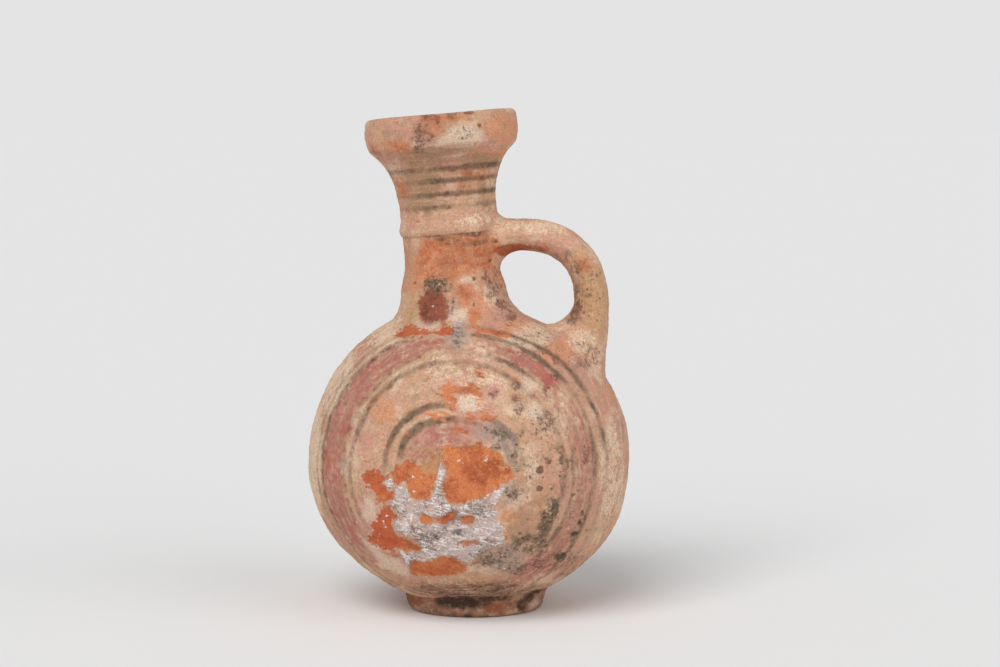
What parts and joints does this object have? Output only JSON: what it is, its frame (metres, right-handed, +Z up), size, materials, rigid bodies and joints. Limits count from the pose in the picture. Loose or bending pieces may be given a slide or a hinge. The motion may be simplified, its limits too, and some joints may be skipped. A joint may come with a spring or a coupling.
{
  "type": "terracotta jug",
  "caption": "Globular terracotta jug with a ring foot, a leaning two-stage neck, a collared mouth and a loop handle, painted with concentric rings, for holding and pouring liquid.",
  "frame": {"origin": "on the table, straight below the centre of the globe, which is the middle of the bounding box's underside", "axes": "+Z up out of the mouth, +X towards the handle, -Y towards the painted ring pattern"},
  "size_m": [0.123, 0.123, 0.1924],
  "materials": {
    "painted_clay": "worn pale slip with matt dark and red paint over orange earthenware",
    "bare_clay": "bare orange earthenware, matt, stained",
    "handle_clay": "pale ochre slip over orange earthenware, matt",
    "foot_clay": "brown earthenware with burial dirt, matt"
  },
  "bodies": {
    "root": {"body_globe": "painted_clay", "foot_ring": "foot_clay", "neck_lower": "bare_clay", "shoulder_lute": "painted_clay", "neck_ridge": "painted_clay", "neck_upper": "painted_clay", "rim_collar": "painted_clay", "handle": "handle_clay", "handle_top_lute": "handle_clay", "handle_base_lute": "handle_clay"}
  },
  "joints": []
}
